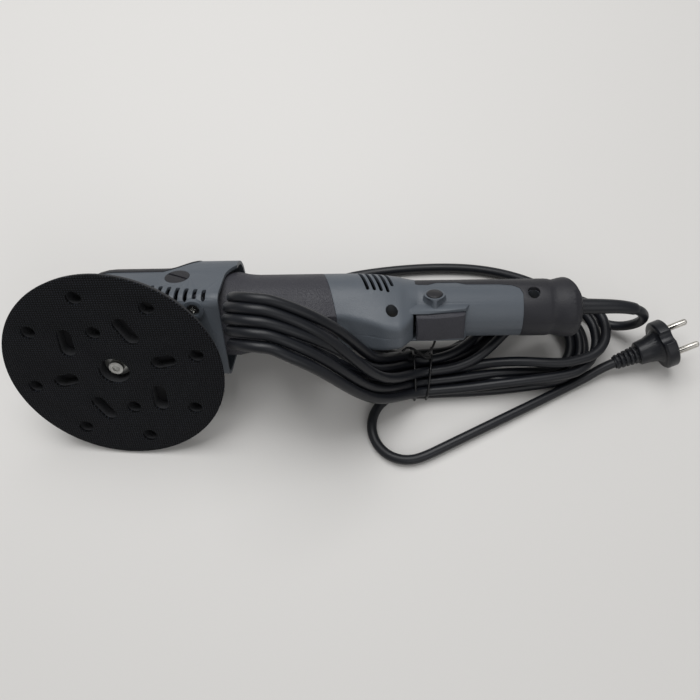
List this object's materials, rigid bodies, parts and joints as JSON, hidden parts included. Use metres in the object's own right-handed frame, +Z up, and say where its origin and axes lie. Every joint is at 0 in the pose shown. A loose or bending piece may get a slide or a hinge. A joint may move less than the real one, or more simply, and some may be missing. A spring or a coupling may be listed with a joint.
{
  "type": "dual action polisher",
  "caption": "Corded orbital polisher lying on its side: round hook pad on an eccentric spindle, vented gear head, motor barrel, trigger handle and tied mains cord.",
  "frame": {"origin": "centre of the tool's box on the table it lies on, measured without the cord", "axes": "+X from the pad end back along the handle, +Z up from the table, pad face turned to -Y and up"},
  "size_m": [0.4973, 0.1645, 0.1258],
  "materials": {
    "alloy": "die cast",
    "black_plastic": "moulded, plain",
    "brass": "stamped",
    "carbon": "pressed graphite",
    "charcoal": "moulded, spark texture",
    "circuit_board": "glass-fibre board",
    "copper": "enamelled copper",
    "cord_rubber": "rubber sheath, satin",
    "foam": "closed-cell foam",
    "hook_fabric": "hook weave",
    "lamination": "stacked laminations, varnished",
    "shell_grey": "moulded, satin with a fine grain",
    "soft_black": "soft overmould, fine spark texture",
    "steel": "ground",
    "zinc_steel": "zinc plated"
  },
  "bodies": {
    "housing": {"head_shell": "shell_grey", "head_bumper": "soft_black", "socket_plugs": "charcoal", "shell_screws": "zinc_steel", "gear_case": "alloy", "bearing_plate": "alloy", "plate_screws": "zinc_steel", "lower_bearing": "steel", "upper_bearing": "steel", "motor_barrel": "charcoal", "stator_core": "lamination", "stator_coils": "copper", "front_bearing": "steel", "rear_bearing": "steel", "brush_carrier": "black_plastic", "brush_boxes": "brass", "carbon_brushes": "carbon", "brush_springs": "steel", "handle_left": "shell_grey", "handle_right": "shell_grey", "grip_left": "soft_black", "grip_right": "soft_black", "handle_screws": "zinc_steel", "switch_module": "black_plastic", "speed_board": "circuit_board", "cord_clamp": "charcoal", "clamp_screws": "zinc_steel", "trigger_pin": "steel", "cord_sleeve": "cord_rubber", "cord_inner": "cord_rubber", "cord_tail": "cord_rubber", "cord_hank": "cord_rubber", "cord_tie": "black_plastic", "cord_lead": "cord_rubber", "plug_relief": "cord_rubber", "plug_body": "cord_rubber", "plug_pins": "brass"},
    "armature": {"armature_shaft": "steel", "armature_core": "lamination", "armature_coils": "copper", "commutator": "copper", "cooling_fan": "black_plastic", "pinion_gear": "steel"},
    "spindle": {"ring_gear": "steel", "spindle_shaft": "steel", "counterweight": "steel", "pad_bearing": "steel"},
    "pad": {"pad_hub": "steel", "pad_plate": "charcoal", "pad_foam": "foam", "pad_hook": "hook_fabric", "pad_washer": "zinc_steel", "pad_screw": "zinc_steel"},
    "trigger": {"trigger": "charcoal"},
    "lock_button": {"lock_button": "charcoal"},
    "speed_dial": {"speed_dial": "charcoal"}
  },
  "joints": [
    {"name": "armature_spin", "type": "hinge", "parent": "housing", "child": "armature", "pos_m": [-0.12289, 0.02809, 0.03672], "axis": [0.9985, 0, 0.0541], "continuous": true},
    {"name": "spindle_spin", "type": "hinge", "parent": "housing", "child": "spindle", "pos_m": [-0.12277, 0.03139, 0.03447], "axis": [0.0305, 0.8261, -0.5627], "continuous": true},
    {"name": "pad_spin", "type": "hinge", "parent": "spindle", "child": "pad", "pos_m": [-0.12243, 0.02716, 0.02828], "axis": [0.0305, 0.8261, -0.5627], "continuous": true},
    {"name": "trigger_pull", "type": "hinge", "parent": "housing", "child": "trigger", "pos_m": [0.11246, 0.01982, 0.05511], "axis": [0.0447, -0.5635, -0.8249], "range_deg": [0, 6], "stiffness_Nm_per_rad": 1, "springref_deg": -5.73},
    {"name": "lock_press", "type": "slide", "parent": "housing", "child": "lock_button", "axis": [0.0447, -0.5635, -0.8249], "range_m": [0, 0.003], "stiffness_N_per_m": 400, "springref_m": -0.002},
    {"name": "dial_turn", "type": "hinge", "parent": "housing", "child": "speed_dial", "pos_m": [0.13918, 0.04056, 0.04239], "axis": [0.0447, -0.5635, -0.8249], "range_deg": [0, 270]}
  ],
  "couplings": [
    {"joint": "spindle_spin", "follows": "armature_spin", "ratio": 0.33333}
  ]
}
